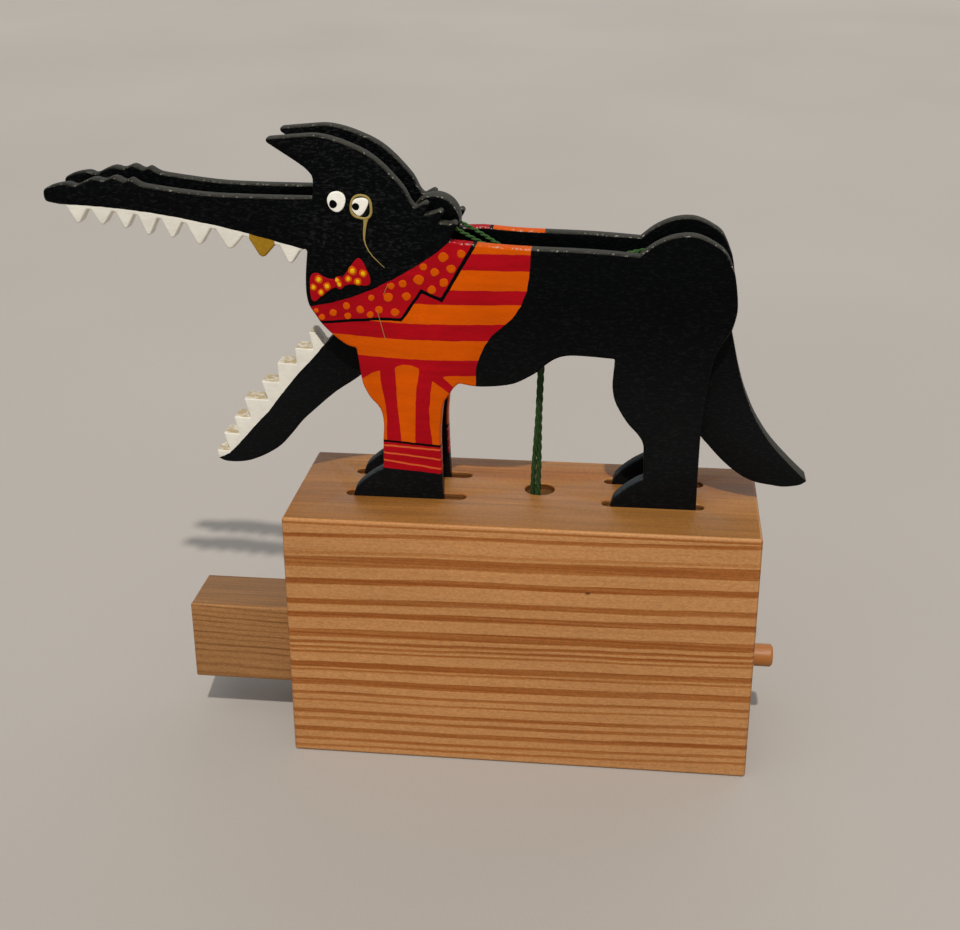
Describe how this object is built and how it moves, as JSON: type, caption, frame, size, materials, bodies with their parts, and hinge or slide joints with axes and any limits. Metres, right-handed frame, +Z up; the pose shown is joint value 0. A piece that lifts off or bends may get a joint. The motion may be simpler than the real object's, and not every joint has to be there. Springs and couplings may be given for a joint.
{
  "type": "wooden automaton toy",
  "caption": "Wooden wolf automaton on a block: pushing the square bar pulls cords that shut the toothed jaw and lift the tail between two painted plywood sides.",
  "frame": {"origin": "middle of the block's underside", "axes": "+X along the block towards the tail, +Y away from the viewer of the painted near side, +Z up"},
  "size_m": [0.3116, 0.073, 0.2643],
  "materials": {
    "fir_block": "oiled solid fir with strong dark latewood bands along the block",
    "bar_wood": "oiled fir, greyer and closer grained than the block",
    "dowel_wood": "turned hardwood dowel, oiled",
    "bare_plywood": "bare birch plywood",
    "black_paint": "plywood in satin black brushed paint, with a red and orange painted waistcoat and white teeth",
    "green_cord": "twisted green cotton cord",
    "screw_steel": "plain countersunk wood screws"
  },
  "bodies": {
    "base": {"base_block": "fir_block", "bottom_plate": "bare_plywood", "bottom_plate_screws": "screw_steel", "near_side": "black_paint", "far_side": "black_paint", "jaw_pin": "dowel_wood", "jaw_washers": "bare_plywood", "tail_pin": "dowel_wood", "tail_washers": "bare_plywood", "front_cord_guide": "dowel_wood", "rear_cord_guide": "dowel_wood", "jaw_cord_run": "green_cord", "jaw_cord_drop": "green_cord", "jaw_cord_tie": "green_cord", "tail_cord_run": "green_cord", "tail_cord_drop": "green_cord", "tail_cord_tie": "green_cord"},
    "slider": {"push_bar": "bar_wood", "guide_rod": "dowel_wood", "cord_peg": "dowel_wood", "peg_knot": "green_cord"},
    "jaw": {"lower_jaw": "black_paint", "jaw_cord_loop": "green_cord"},
    "tail": {"tail": "black_paint", "tail_cord_loop": "green_cord"}
  },
  "joints": [
    {"name": "push_slide", "type": "slide", "parent": "base", "child": "slider", "axis": [1, 0, 0], "range_m": [0, 0.035], "deforming": ["jaw_cord_tie", "tail_cord_tie", "jaw_cord_run", "tail_cord_run"]},
    {"name": "jaw_hinge", "type": "hinge", "parent": "base", "child": "jaw", "pos_m": [-0.058, 0.00425, 0.196], "axis": [0, 1, 0], "range_deg": [0, 56], "deforming": ["jaw_cord_run"]},
    {"name": "tail_hinge", "type": "hinge", "parent": "base", "child": "tail", "pos_m": [0.068, 0.00425, 0.2], "axis": [0, -1, 0], "range_deg": [0, 40], "deforming": ["tail_cord_run"]}
  ],
  "couplings": [
    {"joint": "jaw_hinge", "follows": "push_slide", "rad_per_m": 27.92},
    {"joint": "tail_hinge", "follows": "push_slide", "rad_per_m": 19.94}
  ]
}
